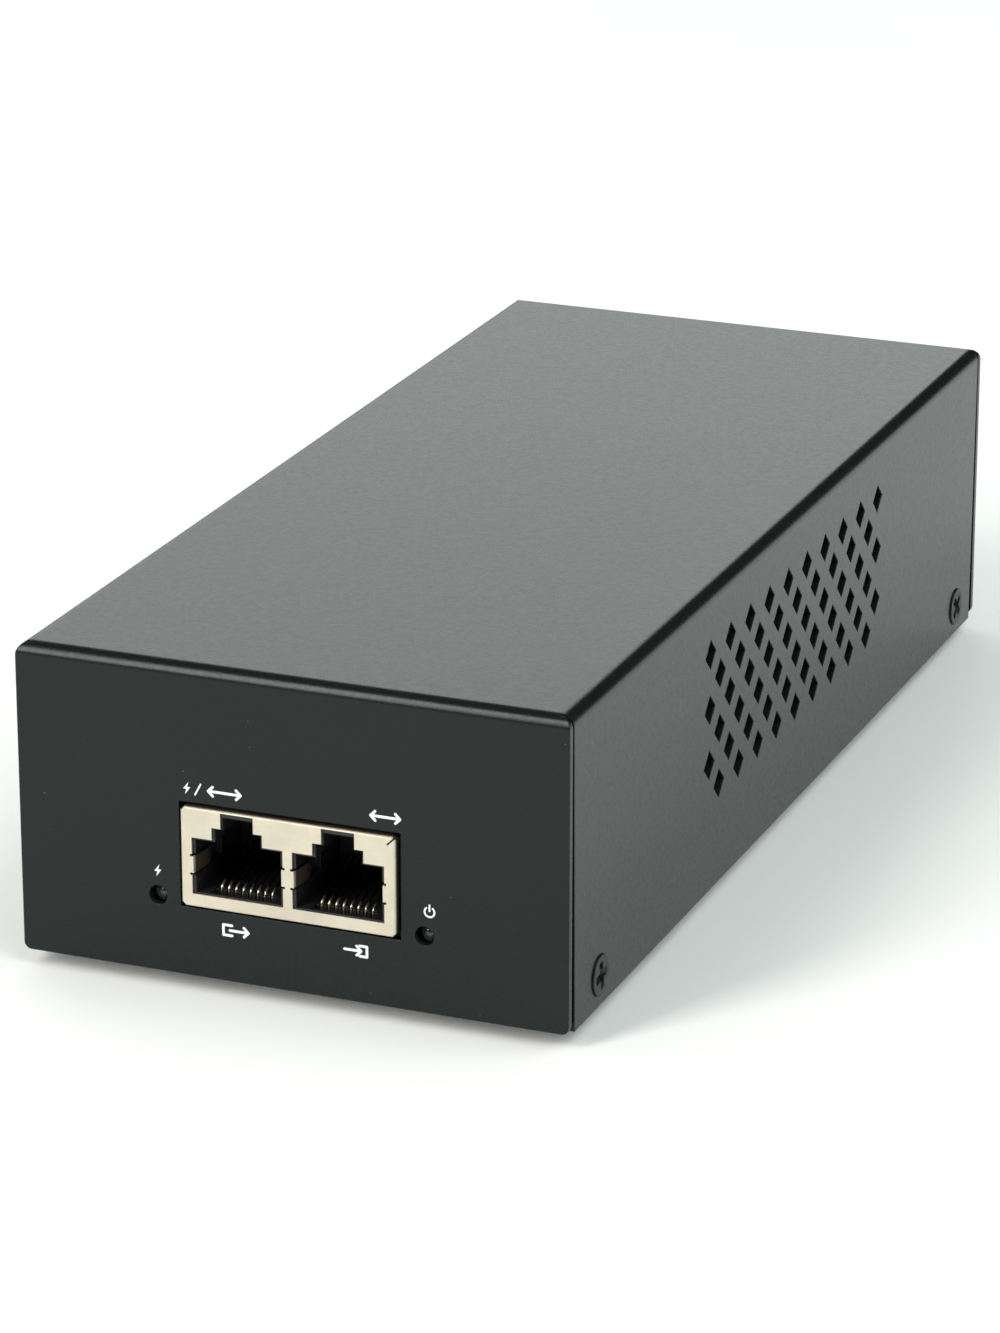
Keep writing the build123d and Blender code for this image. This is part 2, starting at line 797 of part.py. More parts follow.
def build_inlet_nuts():
    thickness = inlet_nut_thickness
    nut = extrude(RegularPolygon(standoff_flats / math.sqrt(3), 6), thickness)
    nut -= Pos(0, 0, thickness / 2) * Cylinder(screw_hole_radius, thickness + 2)
    places = (-inlet_screw_x, inlet_screw_x)
    return [Pos(x, inner_rear_y, inlet_z) * Rot(90, 0, 0) * nut for x in places]


# ---------------------------------------------------------------- mains wiring
def build_receptacles():
    """Push-on receptacles on the inlet's tabs, each with a barrel for its wire."""
    parts = []
    back = inlet_back_y - inlet_tab_length
    for x, z in inlet_pin_places():
        shell = block(x - 1.2, x + 1.2, back - 0.4, inlet_back_y - 0.6, z - 3.1, z + 3.1)
        shell -= block(x - 0.45, x + 0.45, back - 0.1, inlet_back_y, z - 2.45, z + 2.45)
        barrel = rod_y(x, back - wire_barrel, back - 0.4, z, wire_cover_radius + 0.5)
        barrel -= rod_y(x, back - wire_barrel - 1, back - 1.5, z, wire_cover_radius + 0.02)
        parts.append(shell + barrel)
    return parts


def build_mains_wires():
    """Live, earth and neutral wires from the inlet, by name."""
    start_y = inlet_back_y - inlet_tab_length - 2.0
    (live_x, low), (_, high), (neutral_x, _) = inlet_pin_places()
    header_top = board_top + mains_plug_top
    rise = header_top + 6.0
    live_end, neutral_end = header_pin_places()
    live = [
        (live_x, start_y, low),
        (live_x, 50.5, low),
        (live_end, 48.0, low + 4.0),
        (live_end, header_y, rise),
        (live_end, header_y, header_top),
    ]
    neutral = [
        (neutral_x, start_y, low),
        (neutral_x, 50.5, low),
        (neutral_end, 48.0, low + 2.0),
        (neutral_end, header_y, rise),
        (neutral_end, header_y, header_top),
    ]
    barrel_z = case_z + tray_underside + sheet + 1.7
    earth = [
        (0.0, start_y, high),
        (0.0, 51.5, high),
        (-15.0, 51.5, high - 1.0),
        (earth_x, 50.0, case_z + 12.0),
        (earth_x, 50.0, barrel_z),
        (earth_x, earth_y - 6.0, barrel_z),
    ]
    bends = 1.8
    return {
        "live_wire": wire(live, bends, wire_cover_radius),
        "neutral_wire": wire(neutral, bends, wire_cover_radius),
        "earth_wire": wire(earth, bends, wire_cover_radius),
    }


def build_earth_stud():
    low = case_z + tray_underside
    stud = post(earth_x, earth_y, low, low + 9.0, earth_stud_radius)
    return stud + post(earth_x, earth_y, low + sheet, low + sheet + 0.6, 3.0)


def build_ring_terminal():
    low = case_z + tray_underside + sheet + 0.6
    ring = post(earth_x, earth_y, low, low + 0.8, 4.0)
    neck = block(earth_x - 1.5, earth_x + 1.5, earth_y - 6.0, earth_y - 3.0, low, low + 0.8)
    barrel_z = case_z + tray_underside + sheet + 1.7
    barrel = rod_y(earth_x, earth_y - 8.5, earth_y - 4.8, barrel_z, wire_cover_radius + 0.5)
    barrel -= rod_y(earth_x, earth_y - 9.5, earth_y - 6.0, barrel_z, wire_cover_radius + 0.02)
    return ring + neck + barrel - post(earth_x, earth_y, low - 1, low + 2, earth_stud_radius + 0.05)


def build_earth_nut():
    low = case_z + tray_underside + sheet + 1.4
    nut = extrude(RegularPolygon(earth_nut_flats / math.sqrt(3), 6), earth_nut_thickness)
    nut = Pos(earth_x, earth_y, low) * nut
    return nut - post(earth_x, earth_y, low - 1, low + 5, earth_stud_radius + 0.05)


def header_pin_places():
    return (header_x - mains_header_half_pitch, header_x + mains_header_half_pitch)


def build_mains_header():
    body = centred_block(header_x, header_y, board_top, *mains_header_size)
    for x in header_pin_places():
        lead(x, header_y, 0.5)
    return body


def build_mains_header_pins():
    return [
        post(x, header_y, board_bottom - lead_tail, board_top + mains_header_size[2] - ease, 0.5)
        for x in header_pin_places()
    ]


def build_mains_plug():
    low = mains_header_size[2]
    plug = centred_block(header_x, header_y, board_top + low, *mains_plug_size, mains_plug_top - low)
    for x in header_pin_places():
        plug -= post(x, header_y, board_top + mains_plug_top - 2, board_top + 20, wire_cover_radius + 0.02)
    return plug


# ---------------------------------------------------------------- mains filter and rectifier
def build_fuse_tube():
    x, y = fuse_place
    z = board_top + fuse_height
    half = fuse_length / 2 - 5.0
    tube = rod_x(x - half, x + half, y, z, fuse_radius - 0.1)
    return tube - rod_x(x - half - 1, x + half + 1, y, z, fuse_radius - 0.8)


def build_fuse_caps():
    x, y = fuse_place
    z = board_top + fuse_height
    half = fuse_length / 2
    return [rod_x(x + side * (half - 5.0), x + side * half, y, z, fuse_radius) for side in (-1, 1)]


def build_fuse_clips():
    clips = []
    x, y = fuse_place
    z = board_top + fuse_height
    for side in (-1, 1):
        middle = x + side * (fuse_length / 2 - 2.6)
        clip = centred_block(middle, y, board_top, 4.0, 6.6, fuse_height + 2.2)
        clip -= rod_x(middle - 3, middle + 3, y, z, fuse_radius + 0.05)
        clip -= centred_block(middle, y, z, 6.0, 3.6, 6.0)
        clip -= centred_block(middle, y, board_top + 0.6, 6.0, 4.4, 1.6)
        clips.append(join([clip] + [lead(middle, y + d, 0.5) for d in (-2.6, 2.6)]))
    return clips


def build_film_capacitor():
    x, y = film_capacitor_place
    body = centred_block(x, y, board_top, *film_capacitor_size)
    body = fillet(body.edges().filter_by(Axis.Z), 0.8)
    return join([body, lead(x - 6.0, y), lead(x + 6.0, y)])


def build_disc_capacitors():
    discs = []
    for x, y in y_capacitor_places:
        disc = rod_y(x, y - 1.75, y + 1.75, board_top + 5.6, 4.0)
        disc = fillet(disc.edges(), 0.9)
        discs.append(join([disc, lead(x - 2.5, y, 0.35, 4.0), lead(x + 2.5, y, 0.35, 4.0)]))
    return discs


def build_thermistor():
    x, y = thermistor_place
    disc = fillet(rod_y(x, y - 1.9, y + 1.9, board_top + 6.6, 5.0).edges(), 0.9)
    return join([disc, lead(x - 2.5, y, 0.4, 4.0), lead(x + 2.5, y, 0.4, 4.0)])


def build_choke_core():
    x, y = choke_place
    low = board_top + choke_base_size[2]
    core = centred_block(x, y, low, *choke_core_size)
    return core - centred_block(x, y, low + 4.5, 1.5 * choke_window, choke_window, choke_window)


def build_choke_base():
    x, y = choke_place
    base = centred_block(x, y, board_top, *choke_base_size)
    corners = [(x + dx, y + dy) for dx in (-8.0, 8.0) for dy in (-5.5, 5.5)]
    return join([base] + [lead(a, b, 0.45, 1.0) for a, b in corners])


def build_choke_windings():
    x, y = choke_place
    windings = []
    for side in (-1, 1):
        leg = x + side * 8.25
        coil = centred_block(leg, y, board_top + 6.7, 7.6, 11.0, 7.6)
        coil = fillet(coil.edges().filter_by(Axis.Z), 2.0)
        windings.append(coil - centred_block(leg, y, board_top, 4.7, 6.2, 30.0))
    return windings


def build_bridge_rectifier():
    x, y = bridge_place
    body = centred_block(x, y, board_top + 3.0, *bridge_size)
    body = chamfer(body.edges().filter_by(Axis.Y).group_by(Axis.Z)[-1].sort_by(Axis.X)[0], 3.0)
    body -= rod_y(x, y - 3, y + 3, board_top + 16.0, 1.6)
    places = [x + step * bridge_lead_pitch for step in (-1.5, -0.5, 0.5, 1.5)]
    return join([body] + [lead(place, y, 0.5, 3.5) for place in places])


def can_capacitor(x, y, radius, height):
    """Aluminium electrolytic can with its rolled neck and scored top."""
    can = post(x, y, board_top, board_top + height, radius)
    can = fillet(can.edges().group_by(Axis.Z)[-1], 0.8)
    neck = post(x, y, board_top + 2.0, board_top + 3.0, radius + 1) - post(
        x, y, board_top, board_top + 4.0, radius - 0.4
    )
    vent = centred_block(x, y, board_top + height - 0.3, 1.2 * radius, 0.5, 1.0)
    vent += centred_block(x, y, board_top + height - 0.3, 0.5, 1.2 * radius, 1.0)
    reach = 0.4 * radius
    return join([can - neck - vent, lead(x - reach, y), lead(x + reach, y)])


def build_bulk_capacitor():
    return can_capacitor(*bulk_place, bulk_radius, bulk_height)


# ---------------------------------------------------------------- conversion and output
def heat_sink(x, y, fin_side):
    """Upright plate with fins on one side and two board pins."""
    plate = centred_block(x, y, board_top, sink_thickness, sink_length, sink_height)
    fins = []
    fin_reach = 2.0
    count = 6
    for number in range(count):
        fin_y = y + (number - (count - 1) / 2) * (sink_length - 2) / (count - 1)
        edge = x + fin_side * (sink_thickness + fin_reach) / 2
        fins.append(centred_block(edge, fin_y, board_top + 0.5, fin_reach + 0.2, 1.4, sink_height - 0.5))
    pins = [lead(x, y + d, 0.8, 0.5) for d in (-10.0, 10.0)]
    return join([plate] + fins + pins) - rod_x(x - 4, x + 6, y, board_top + tab_hole_height, 1.25)


def power_package(x, y, side):
    """Three-lead power device: its metal tab lies against a sink at x, its body on the given side."""
    low = board_top + 4.0
    body_thickness = 4.5
    tab = centred_block(x + side * tab_thickness / 2, y, low, tab_thickness, 10.0, 15.6)
    body = centred_block(x + side * body_thickness / 2, y, low, body_thickness, 10.0, 9.0)
    device = tab + body
    device -= rod_x(x - 3, x + 3, y, board_top + tab_hole_height, 1.7)
    lead_x = x + side * 2.6
    places = [y + step * power_lead_pitch for step in (-1, 0, 1)]
    return join([device] + [lead(lead_x, place, 0.4, 4.5) for place in places])


def build_primary_sink():
    return heat_sink(primary_sink_x, primary_sink_y, -1)


def build_primary_transistor():
    return power_package(primary_sink_x + sink_thickness / 2, primary_sink_y, 1)


def build_output_sink():
    return heat_sink(output_sink_x, output_sink_y, 1)


def build_output_rectifier():
    return power_package(output_sink_x - sink_thickness / 2, output_sink_y, -1)


def build_sink_screws():
    """Self-tapping screws that clamp the two power devices to their sinks."""
    head = pan_head_screw(5.0, 2.6, 1.6)
    core = Pos(0, 0, -2.5) * (Cylinder(4, 6) - Cylinder(1.2, 8))
    screw = head - core
    z = board_top + tab_hole_height
    reach = sink_thickness / 2 + tab_thickness
    left = Pos(primary_sink_x + reach, primary_sink_y, z) * Rot(0, 90, 0) * screw
    right = Pos(output_sink_x - reach, output_sink_y, z) * Rot(0, -90, 0) * screw
    return [left, right]


def build_transformer_core():
    x, y = transformer_place
    z = board_top + core_lift
    core = centred_block(x, y, z, core_width, core_depth, core_height)
    width = core_window_outer - core_leg_half
    for side in (-1, 1):
        middle = x + side * (core_leg_half + core_window_outer) / 2
        window = centred_block(
            middle, y, z + core_window_low, width, core_depth + 2, core_window_high - core_window_low
        )
        core -= window
    return core


def build_transformer_bobbin():
    x, y = transformer_place
    z = board_top + core_lift
    low = z + core_window_low + ease
    high = z + core_window_high - ease
    wall = bobbin_wall
    leg_x = 2 * (core_leg_half + ease)
    leg_y = core_depth + 2 * ease
    bobbin = centred_block(x, y, low, leg_x + 2 * wall, leg_y + 2 * wall, high - low)
    flange_width = 2 * (core_window_outer - ease)
    for flange_z in (low, high - wall):
        bobbin += centred_block(x, y, flange_z, flange_width, bobbin_length, wall)
    bobbin -= centred_block(x, y, low - 1, leg_x, leg_y, high - low + 2)
    for side in (-1, 1):
        rail_y = y + side * 10.0
        bobbin += centred_block(x, rail_y, board_top, flange_width, 5.6, low - board_top + wall)
        bobbin += join([lead(x + d, rail_y, 0.45, 1.0) for d in (-7.5, -2.5, 2.5, 7.5)])
    return bobbin


def build_transformer_winding():
    x, y = transformer_place
    z = board_top + core_lift
    low = z + core_window_low + bobbin_wall + 2 * ease
    high = z + core_window_high - bobbin_wall - 2 * ease
    winding = centred_block(x, y, low, 2 * (core_window_outer - 0.5), winding_length, high - low)
    winding = fillet(winding.edges().filter_by(Axis.Z), 3.0)
    grow = ease + bobbin_wall + 0.05
    inner_x = 2 * (core_leg_half + grow)
    return winding - centred_block(x, y, low - 1, inner_x, core_depth + 2 * grow, high - low + 2)


def build_output_capacitors():
    return [
        can_capacitor(x, y, output_capacitor_radius, output_capacitor_height)
        for x, y in output_capacitor_places
    ]


def build_inductor_core():
    x, y = inductor_place
    z = board_top + inductor_lift
    return post(x, y, z, z + inductor_height, inductor_outer) - post(x, y, z - 1, z + 10, inductor_inner)


def build_inductor_winding():
    """Turns of thick enamelled wire round the ring core."""
    x, y = inductor_place
    z = board_top + inductor_lift
    gauge = inductor_wire
    near = inductor_inner - gauge
    far = inductor_outer + gauge
    turn = block(near, far, -gauge / 2, gauge / 2, -gauge, inductor_height + gauge)
    turn -= block(inductor_inner - 0.05, inductor_outer + 0.05, -1, 1, -0.05, inductor_height + 0.05)
    turn = fillet(turn.edges().filter_by(Axis.Y).group_by(Axis.Z)[0], 0.3)
    step = inductor_arc / (inductor_turns - 1)
    return [Pos(x, y, z) * Rot(0, 0, 60 + number * step) * turn for number in range(inductor_turns)]


def dual_in_line(x, y, width, length, height, pins):
    """Through-hole chip: moulded body with a row of leads down each long side."""
    body = centred_block(x, y, board_top + 0.5, width, length, height)
    body = chamfer(body.edges().group_by(Axis.Z)[-1], 0.4)
    leads = []
    for side in (-1, 1):
        for number in range(pins):
            lead_y = y + (number - (pins - 1) / 2) * chip_lead_pitch
            lead_x = x + side * (width / 2 + 0.45)
            arm = centred_block(lead_x - side * 0.3, lead_y, board_top + 1.8, 1.2, 0.8, 0.3)
            leads.append(arm + lead(lead_x, lead_y, 0.3, 2.0))
    return join([body] + leads)


def build_optocoupler():
    return dual_in_line(*optocoupler_place, 6.4, 4.6, 3.4, 2)


def build_control_chip():
    return dual_in_line(*control_chip_place, 6.4, 9.6, 3.4, 4)


def gull_wing(x, y, width, length, height, pins):
    """Surface-mount package with bent leads down both long sides."""
    body = centred_block(x, y, board_top + 0.1, width, length, height)
    body = chamfer(body.edges().group_by(Axis.Z)[-1], 0.25)
    pitch = fine_lead_pitch
    lead_width = pitch * 0.4
    leads = []
    for side in (-1, 1):
        edge = x + side * width / 2
        for number in range(pins):
            lead_y = y + (number - (pins - 1) / 2) * pitch
            foot = centred_block(edge + side * 1.1, lead_y, board_top, 1.0, lead_width, 0.2)
            riser = centred_block(edge + side * 0.7, lead_y, board_top, 0.2, lead_width, height * 0.5)
            arm_z = board_top + height * 0.5 - 0.2
            arm = centred_block(edge + side * 0.35, lead_y, arm_z, 0.9, lead_width, 0.2)
            leads.append(foot + riser + arm)
    return join([body] + leads)


def build_poe_chip():
    return gull_wing(*poe_chip_place, 7.5, 12.8, 2.4, 10)


def build_network_transformers():
    return [gull_wing(x, y, 12.8, 15.0, 6.0, 12) for x, y in network_transformer_places]


# ---------------------------------------------------------------- write every node
def main():
    os.makedirs("parts", exist_ok=True)
    save("cover", build_cover())
    save("base_tray", build_base_tray())
    save("cover_screws", build_cover_screws())
    save("rubber_feet", build_feet())
    save("board_standoffs", build_standoffs())
    save("board_screws", build_board_screws())
    save("insulating_film", build_insulating_film())

    save("jack_shield", build_jack_shield())
    save("jack_housing", build_jack_housing())
    left, right = port_centres()
    save("out_contact_carrier", build_contact_carrier(left))
    save("in_contact_carrier", build_contact_carrier(right))
    save("contact_tails", build_contact_tails(left) + build_contact_tails(right))
    save("out_contact_springs", build_contact_springs(left))
    save("in_contact_springs", build_contact_springs(right))
    save("poe_lamp", build_lamp(-lamp_x))
    save("power_lamp", build_lamp(lamp_x))
    save("lamp_leads", build_lamp_leads())

    save("inlet_housing", build_inlet_housing())
    save("inlet_pins", build_inlet_pins())
    save("inlet_screws", build_inlet_screws())
    save("inlet_nuts", build_inlet_nuts())
    save("wire_receptacles", build_receptacles())
    for name, shape in build_mains_wires().items():
        save(name, shape)
    save("earth_stud", build_earth_stud())
    save("ring_terminal", build_ring_terminal())
    save("earth_nut", build_earth_nut())
    save("mains_header", build_mains_header() - join(build_mains_header_pins()))
    save("mains_header_pins", build_mains_header_pins())
    save("mains_plug", build_mains_plug())

    save("fuse_tube", build_fuse_tube())
    save("fuse_caps", build_fuse_caps())
    save("fuse_clips", build_fuse_clips())
    save("film_capacitor", build_film_capacitor())
    save("disc_capacitors", build_disc_capacitors())
    save("inrush_thermistor", build_thermistor())
    save("choke_core", build_choke_core())
    save("choke_base", build_choke_base())
    save("choke_windings", build_choke_windings())
    save("bridge_rectifier", build_bridge_rectifier())
    save("bulk_capacitor", build_bulk_capacitor())

    save("primary_heat_sink", build_primary_sink())
    save("primary_transistor", build_primary_transistor())
    save("output_heat_sink", build_output_sink())
    save("output_rectifier", build_output_rectifier())
    save("heat_sink_screws", build_sink_screws())
    save("transformer_core", build_transformer_core())
    save("transformer_bobbin", build_transformer_bobbin())
    save("transformer_winding", build_transformer_winding())
    save("output_capacitors", build_output_capacitors())
    save("inductor_core", build_inductor_core())
    save("inductor_winding", build_inductor_winding())
    save("optocoupler", build_optocoupler())
    save("power_control_chip", build_control_chip())
    save("poe_control_chip", build_poe_chip())
    save("network_transformers", build_network_transformers())

    # The board comes last, because every component above adds the holes for its own leads.
    save("main_board", build_board())


main()
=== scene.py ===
import json
import math

import bmesh
import bpy
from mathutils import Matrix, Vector

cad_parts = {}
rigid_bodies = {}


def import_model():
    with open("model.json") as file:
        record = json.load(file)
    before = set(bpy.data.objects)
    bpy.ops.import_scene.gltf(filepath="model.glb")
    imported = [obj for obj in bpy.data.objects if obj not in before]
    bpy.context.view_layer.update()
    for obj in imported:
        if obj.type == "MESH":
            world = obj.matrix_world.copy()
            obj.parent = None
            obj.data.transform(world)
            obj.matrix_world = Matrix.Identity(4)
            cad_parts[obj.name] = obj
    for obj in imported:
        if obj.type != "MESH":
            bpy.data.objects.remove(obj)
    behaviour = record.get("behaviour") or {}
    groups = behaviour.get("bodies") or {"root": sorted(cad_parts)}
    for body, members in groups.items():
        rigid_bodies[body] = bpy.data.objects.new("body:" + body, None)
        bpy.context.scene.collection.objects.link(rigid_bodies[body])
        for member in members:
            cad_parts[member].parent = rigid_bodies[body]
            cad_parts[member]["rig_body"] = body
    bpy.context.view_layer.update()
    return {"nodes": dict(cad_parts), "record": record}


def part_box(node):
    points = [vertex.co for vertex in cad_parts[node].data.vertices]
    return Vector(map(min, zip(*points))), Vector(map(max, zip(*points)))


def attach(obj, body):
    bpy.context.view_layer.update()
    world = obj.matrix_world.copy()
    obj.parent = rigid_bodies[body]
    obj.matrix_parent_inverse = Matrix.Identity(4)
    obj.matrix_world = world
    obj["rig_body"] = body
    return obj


# Looks of the power-over-ethernet injector. Lengths are in metres, in the frame of the packed
# CAD model, except where a comment says mm.
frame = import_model()
MM = 0.001

# Camera: azimuth measured from -Y towards +X, lens and sensor in mm
VIEW_AZIMUTH = 21.80
VIEW_ELEVATION = 19.92
VIEW_DISTANCE = 0.7352
AIM = Vector((-0.00432, -0.00481, 0.01803))
LENS = 140.88
SENSOR = 36.0
CLIP_START = 0.01
CLIP_END = 100.0

# Light of the lamps: very slightly green, as from fluorescent tubes, and a warmer key
LAMP_TINT = (0.94, 1.0, 0.97)
KEY_TINT = (1.0, 0.95, 0.89)
LAMP_AIM = Vector((0.0, 0.0, 0.02))

# World: what the eye and soft fill see, and what mirror-like rays see
PALE_WORLD = (0.93, 1.0, 0.97, 1.0)
PALE_STRENGTH = 0.62
DARK_WORLD = (0.95, 0.98, 1.0, 1.0)
DARK_STRENGTH = 0.02

FLOOR_SIZE = 40.0

# Printed symbols, in mm
STROKE = 0.36
SLASH_STROKE = 0.22
POWER_STROKE = 0.24
INK_THICKNESS = 0.02
INK_SUNK = 0.005
INK_LAYER = 0.001
ARROW_HEAD = 0.62
BRACKET_HALF = 0.7
BOLT_OUTLINE = (
    (0.25, 0.85), (-0.50, -0.12), (-0.06, -0.12),
    (-0.25, -0.85), (0.50, 0.15), (0.06, 0.15),
)
POWER_RADIUS = 0.68
POWER_DROP = 0.08
SYMBOL_LIFT = 2.3
SYMBOL_DROP = 2.85
LAMP_SYMBOL_LIFT = 3.6
POWER_AND_LINK_INSET = 4.6
LINK_INSET = 1.6
POWER_SHIFT = 0.7
POWER_RISE = 0.1
OUT_SHIFT = 0.9
IN_SHIFT = 2.3

# Printed symbols, in steps and degrees
ROUND_STEPS = 8
POWER_GAP = 40
POWER_STEP = 20

# Nodes: the Mix node's sockets for colours, and the wave texture's period at a scale of 1
MIX_A = 6
MIX_B = 7
MIX_RESULT = 2
WAVE_PERIOD = 0.314
BEVEL_SAMPLES = 4


# ---------------------------------------------------------------- node helpers
class Graph:
    """A material and short ways to add its nodes."""

    def __init__(self, name):
        self.material = bpy.data.materials.new(name)
        self.material.use_nodes = True
        self.tree = self.material.node_tree
        self.tree.nodes.clear()
        self.output = self.tree.nodes.new("ShaderNodeOutputMaterial")
        self.shader = self.tree.nodes.new("ShaderNodeBsdfPrincipled")
        self.tree.links.new(self.shader.outputs["BSDF"], self.output.inputs["Surface"])
        self.place = self.tree.nodes.new("ShaderNodeTexCoord").outputs["Object"]

    def feed(self, socket, value):
        if isinstance(value, bpy.types.NodeSocket):
            self.tree.links.new(value, socket)
        else:
            socket.default_value = value

    def set(self, **values):
        """Feeds the shader's sockets, named with underscores for spaces."""
        for name, value in values.items():
            self.feed(self.shader.inputs[name.replace("_", " ")], value)

    def stretched(self, scale):
        node = self.tree.nodes.new("ShaderNodeMapping")
        self.feed(node.inputs["Vector"], self.place)
        node.inputs["Scale"].default_value = scale
        return node.outputs["Vector"]

    def along(self, axis):
        """Coordinate along one of the object's own axes."""
        node = self.tree.nodes.new("ShaderNodeSeparateXYZ")
        self.feed(node.inputs["Vector"], self.place)
        return node.outputs[axis]

    def noise(self, size, detail=2.0, rough=0.5, place=None):
        """Noise whose features are about size metres across."""
        node = self.tree.nodes.new("ShaderNodeTexNoise")
        self.feed(node.inputs["Vector"], place or self.place)
        node.inputs["Scale"].default_value = 1.0 / size
        node.inputs["Detail"].default_value = detail
        node.inputs["Roughness"].default_value = rough
        return node.outputs["Fac"]

    def cells(self, size, kind="F1", output="Distance"):
        """Cells about size metres across."""
        node = self.tree.nodes.new("ShaderNodeTexVoronoi")
        node.feature = kind
        self.feed(node.inputs["Vector"], self.place)
        node.inputs["Scale"].default_value = 1.0 / size
        return node.outputs[output]

    def bands(self, size, direction, distortion=0.0):
        """Stripes about size metres apart."""
        node = self.tree.nodes.new("ShaderNodeTexWave")
        node.bands_direction = direction
        self.feed(node.inputs["Vector"], self.place)
        node.inputs["Scale"].default_value = WAVE_PERIOD / size
        node.inputs["Distortion"].default_value = distortion
        return node.outputs["Fac"]

    def span(self, value, low, high, to_low=0.0, to_high=1.0):
        """Value from low to high, stretched and clamped to another range."""
        node = self.tree.nodes.new("ShaderNodeMapRange")
        self.feed(node.inputs["Value"], value)
        node.inputs["From Min"].default_value = low
        node.inputs["From Max"].default_value = high
        node.inputs["To Min"].default_value = to_low
        node.inputs["To Max"].default_value = to_high
        return node.outputs["Result"]

    def math(self, operation, a, b):
        node = self.tree.nodes.new("ShaderNodeMath")
        node.operation = operation
        self.feed(node.inputs[0], a)
        self.feed(node.inputs[1], b)
        return node.outputs["Value"]

    def mix(self, fac, a, b):
        node = self.tree.nodes.new("ShaderNodeMix")
        node.data_type = "RGBA"
        self.feed(node.inputs["Factor"], fac)
        self.feed(node.inputs[MIX_A], (*a, 1.0) if isinstance(a, tuple) else a)
        self.feed(node.inputs[MIX_B], (*b, 1.0) if isinstance(b, tuple) else b)
        return node.outputs[MIX_RESULT]

    def rounded_edges(self, radius):
        node = self.tree.nodes.new("ShaderNodeBevel")
        node.samples = BEVEL_SAMPLES
        node.inputs["Radius"].default_value = radius
        return node.outputs["Normal"]

    def bump(self, height, depth, strength, normal=None):
        node = self.tree.nodes.new("ShaderNodeBump")
        self.feed(node.inputs["Height"], height)
        node.inputs["Distance"].default_value = depth
        node.inputs["Strength"].default_value = strength
        if normal is not None:
            self.feed(node.inputs["Normal"], normal)
        return node.outputs["Normal"]


def shade(colour, factor):
    return tuple(min(1.0, channel * factor) for channel in colour)


# ---------------------------------------------------------------- materials
def powder_coat(name, colour):
    """Satin powder coat: fine orange peel, pale specks of dust and slightly uneven gloss."""
    g = Graph(name)
    drift = g.span(g.noise(0.035, detail=2.0), 0.35, 0.65)
    grain = g.span(g.noise(0.00030, detail=3.0, rough=0.6), 0.30, 0.70)
    tone = g.mix(drift, shade(colour, 0.95), shade(colour, 1.05))
    tone = g.mix(g.math("MULTIPLY", grain, 0.4), tone, shade(colour, 1.35))
    speck = g.span(g.cells(0.0042), 0.028, 0.016)
    tone = g.mix(g.math("MULTIPLY", speck, 0.45), tone, (0.20, 0.22, 0.21))
    g.set(Base_Color=tone, Roughness=g.span(g.noise(0.0009, detail=2.0), 0.3, 0.7, 0.24, 0.29))
    g.set(IOR=1.5, Specular_Tint=(0.46, 0.52, 0.52, 1.0))
    soft = g.rounded_edges(0.25 * MM)
    peel = g.bump(
        g.noise(0.00070, detail=1.5, rough=0.45), depth=0.000014, normal=soft, strength=0.6,
    )
    g.set(Normal=g.bump(g.noise(0.00020, detail=2.0), depth=0.000005, normal=peel, strength=0.28))
    return g.material


def zinc_plate(name, colour):
    """Bright zinc over rolled steel: faint crystal patches and fine rolling lines along Y."""
    g = Graph(name)
    patch = g.cells(0.006, "F1", "Color")
    lines = g.noise(0.00025, detail=2.0, rough=0.5, place=g.stretched((1.0, 0.03, 1.0)))
    tone = g.mix(g.span(patch, 0.2, 0.8), shade(colour, 0.86), shade(colour, 1.06))
    g.set(Base_Color=tone, Metallic=1.0)
    g.set(Roughness=g.span(lines, 0.3, 0.7, 0.30, 0.46))
    soft = g.rounded_edges(0.15 * MM)
    g.set(Normal=g.bump(lines, depth=0.000006, normal=soft, strength=0.6))
    return g.material


def satin_plate(name, colour, roughness, metallic=1.0, painted_shade=None):
    """Satin plate on thin sheet or wire, with faint handling marks.

    The last argument gives the colour of painted shade on the plate farther in, the Y where it
    starts and the Y where it is full.
    """
    g = Graph(name)
    cloud = g.noise(0.0045, detail=3.0, rough=0.6)
    fine = g.noise(0.00018, detail=2.0)
    marks = g.noise(0.00035, detail=2.0, rough=0.5, place=g.stretched((0.12, 1.0, 1.0)))
    tone = g.mix(g.span(cloud, 0.35, 0.65), shade(colour, 0.94), shade(colour, 1.04))
    if painted_shade:
        inner_colour, start, end = painted_shade
        # Painted shade: the plate is darker farther in along Y, standing in for the shadow inside
        # the sockets
        tone = g.mix(g.span(g.along("Y"), start, end), tone, inner_colour)
    g.set(Base_Color=tone, Metallic=metallic)
    g.set(Roughness=g.span(marks, 0.3, 0.7, roughness - 0.05, roughness + 0.06))
    soft = g.rounded_edges(0.08 * MM)
    g.set(Normal=g.bump(fine, depth=0.000004, normal=soft, strength=0.5))
    return g.material


def moulded(name, colour, roughness, texture=0.00016, depth=0.000010, gloss=0.0):
    """Moulded plastic with the fine spark-eroded grain of its tool."""
    g = Graph(name)
    drift = g.span(g.noise(0.012, detail=2.0), 0.35, 0.65)
    grain = g.noise(texture, detail=2.0, rough=0.6)
    g.set(Base_Color=g.mix(drift, shade(colour, 0.88), shade(colour, 1.12)))
    g.set(Roughness=g.span(grain, 0.3, 0.7, roughness - 0.06, roughness + 0.06))
    g.set(Coat_Weight=gloss, Coat_Roughness=0.15)
    soft = g.rounded_edges(0.15 * MM)
    g.set(Normal=g.bump(grain, depth=depth, normal=soft, strength=0.6))
    return g.material


